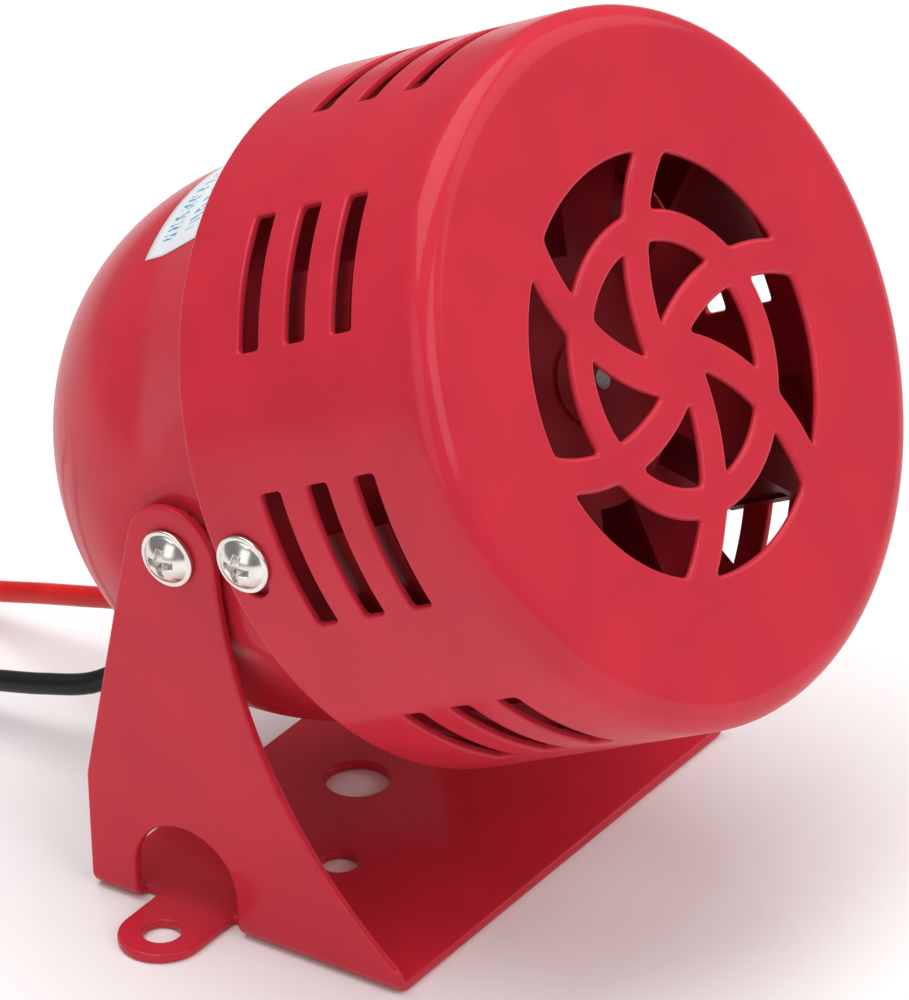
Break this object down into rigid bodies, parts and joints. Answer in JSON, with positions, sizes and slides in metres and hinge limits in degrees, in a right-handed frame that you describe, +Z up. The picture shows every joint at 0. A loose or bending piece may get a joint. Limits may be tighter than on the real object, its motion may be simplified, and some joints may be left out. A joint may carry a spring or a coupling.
{
  "type": "alarm siren",
  "caption": "Small motor-driven siren: slotted sound drum with a spinning rotor, domed motor housing and a U bracket it tilts in, with two pigtail leads.",
  "frame": {"origin": "centre of the big hole in the bracket's base, at the base's underside", "axes": "+Z up, square to the base; -Y the way the siren faces; X along the tilt axis"},
  "size_m": [0.086, 0.2489, 0.1044],
  "materials": {
    "red_gloss_paint": "glossy crimson enamel with a slight orange peel",
    "rotor_paint": "satin dark red enamel",
    "nickel_plate": "polished nickel plate",
    "zinc_steel": "zinc plated steel",
    "bright_steel": "ground steel",
    "bronze": "sintered bronze",
    "laminated_steel": "stacked steel laminations, lacquered",
    "copper_wire": "enamelled copper wire",
    "copper_bars": "turned copper segments",
    "brass_sheet": "pressed brass",
    "phenolic": "brown phenolic board",
    "carbon": "pressed carbon",
    "black_rubber": "black rubber",
    "white_label": "printed white film",
    "red_pvc": "red PVC insulation",
    "black_pvc": "black PVC insulation",
    "tinned_copper": "tinned copper strands"
  },
  "bodies": {
    "bracket": {"mounting_bracket": "red_gloss_paint"},
    "siren": {"drum_cover": "red_gloss_paint", "motor_housing": "red_gloss_paint", "front_bulkhead": "red_gloss_paint", "drum_screws": "nickel_plate", "frame_screws": "nickel_plate", "pivot_screws": "nickel_plate", "pivot_washers": "zinc_steel", "pivot_nuts": "zinc_steel", "bearing_bridge": "zinc_steel", "front_bearing": "bronze", "rear_bearing": "bronze", "stator_core": "laminated_steel", "field_coils": "copper_wire", "stator_bolts": "zinc_steel", "stator_spacers": "zinc_steel", "brush_plate": "phenolic", "brush_plate_screws": "nickel_plate", "brush_holders": "brass_sheet", "carbon_brushes": "carbon", "brush_springs": "bright_steel", "cable_grommet": "black_rubber", "data_label": "white_label", "red_lead": "red_pvc", "black_lead": "black_pvc", "red_lead_tip": "tinned_copper", "black_lead_tip": "tinned_copper"},
    "spinner": {"rotor": "rotor_paint", "rotor_hub": "bright_steel", "motor_shaft": "bright_steel", "armature_core": "laminated_steel", "armature_windings": "copper_wire", "commutator": "copper_bars", "thrust_washers": "zinc_steel"}
  },
  "joints": [
    {"name": "tilt", "type": "hinge", "parent": "bracket", "child": "siren", "pos_m": [0, 0, 0.0475], "axis": [-1, 0, 0], "range_deg": [-26, 64], "deforming": ["red_lead", "black_lead", "red_lead_tip", "black_lead_tip"]},
    {"name": "rotor_spin", "type": "hinge", "parent": "siren", "child": "spinner", "pos_m": [0, 0, 0.0475], "axis": [0, -0.8988, 0.4384], "continuous": true}
  ]
}
